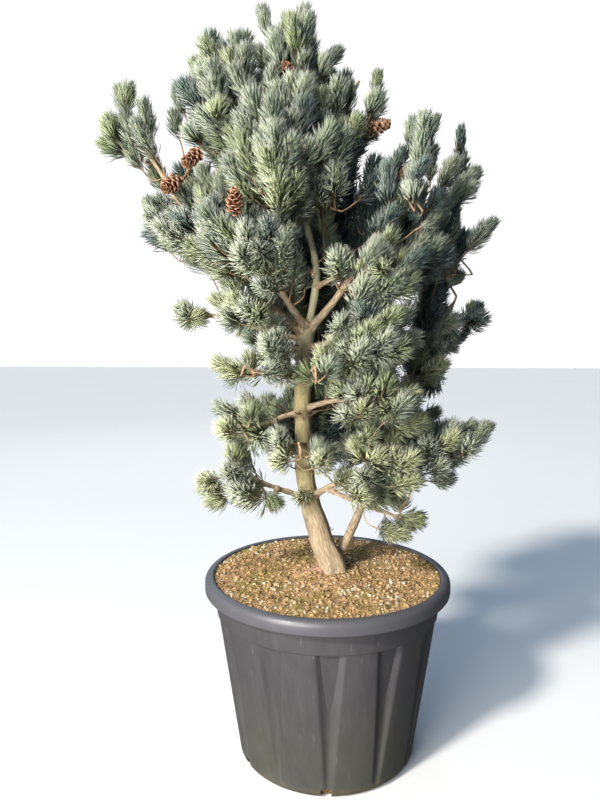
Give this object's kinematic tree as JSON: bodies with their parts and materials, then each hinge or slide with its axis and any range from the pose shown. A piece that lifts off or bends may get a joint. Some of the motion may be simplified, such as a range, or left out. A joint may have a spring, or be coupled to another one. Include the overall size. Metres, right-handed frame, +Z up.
{
  "type": "potted white pine",
  "caption": "Young blue-green Japanese white pine with a leaning forked trunk, a second stem and upswept boughs, in a round fluted nursery pot.",
  "frame": {"origin": "centre of the pot's flat underside, on the ground", "axes": "+Z up; -Y is the front, as seen in the picture; +X is the viewer's right, the side that the second stem rises on"},
  "size_m": [1.0013, 0.6419, 1.805],
  "materials": {
    "pot_plastic": "weathered dark grey, faintly streaked, satin on the rim",
    "potting_soil": "rough brown grains with white perlite",
    "bark": "grey-brown, finely ridged and scaly",
    "young_bark": "orange-brown, finely ridged",
    "needles": "blue-green with whitish lines, satin"
  },
  "bodies": {
    "root": {"pot": "pot_plastic", "soil": "potting_soil", "trunk": "bark", "second_stem": "bark", "bough_left_outer": "young_bark", "bough_left_inner": "young_bark", "bough_right_fork": "young_bark", "bough_top_left": "young_bark", "bough_top_right": "young_bark", "bough_far_left": "young_bark", "bough_left_twig": "young_bark", "bough_waist_left": "young_bark", "bough_mid_left": "young_bark", "bough_low_left": "young_bark", "bough_mid_right": "young_bark", "bough_low_right": "young_bark", "bough_lowest_right": "young_bark", "bough_back_high": "young_bark", "bough_back_mid": "young_bark", "bough_back_low": "young_bark", "bough_low_arm": "young_bark", "bough_right_waist": "young_bark", "bough_right_arm": "young_bark", "needles_top_centre": "needles", "needles_top_left": "needles", "needles_top_right": "needles", "needles_back_top": "needles", "needles_upper_front": "needles", "needles_upper_right": "needles", "needles_far_left": "needles", "needles_left_shoulder": "needles", "needles_left_inner": "needles", "needles_left_waist": "needles", "needles_left_twig": "needles", "needles_left_belly": "needles", "needles_left_low": "needles", "needles_left_bottom": "needles", "needles_left_hanging": "needles", "needles_front_low": "needles", "needles_front_mid": "needles", "needles_right_shoulder": "needles", "needles_right_high": "needles", "needles_right_arm": "needles", "needles_right_inner": "needles", "needles_right_waist": "needles", "needles_right_front": "needles", "needles_right_belly": "needles", "needles_right_mid": "needles", "needles_right_low_arm": "needles", "needles_right_low": "needles", "needles_right_lowest": "needles", "needles_back_centre": "needles", "needles_back_high_left": "needles", "needles_back_high_right": "needles", "needles_back_mid_left": "needles", "needles_back_mid_right": "needles", "needles_back_low_left": "needles", "needles_back_low_right": "needles"}
  },
  "joints": []
}
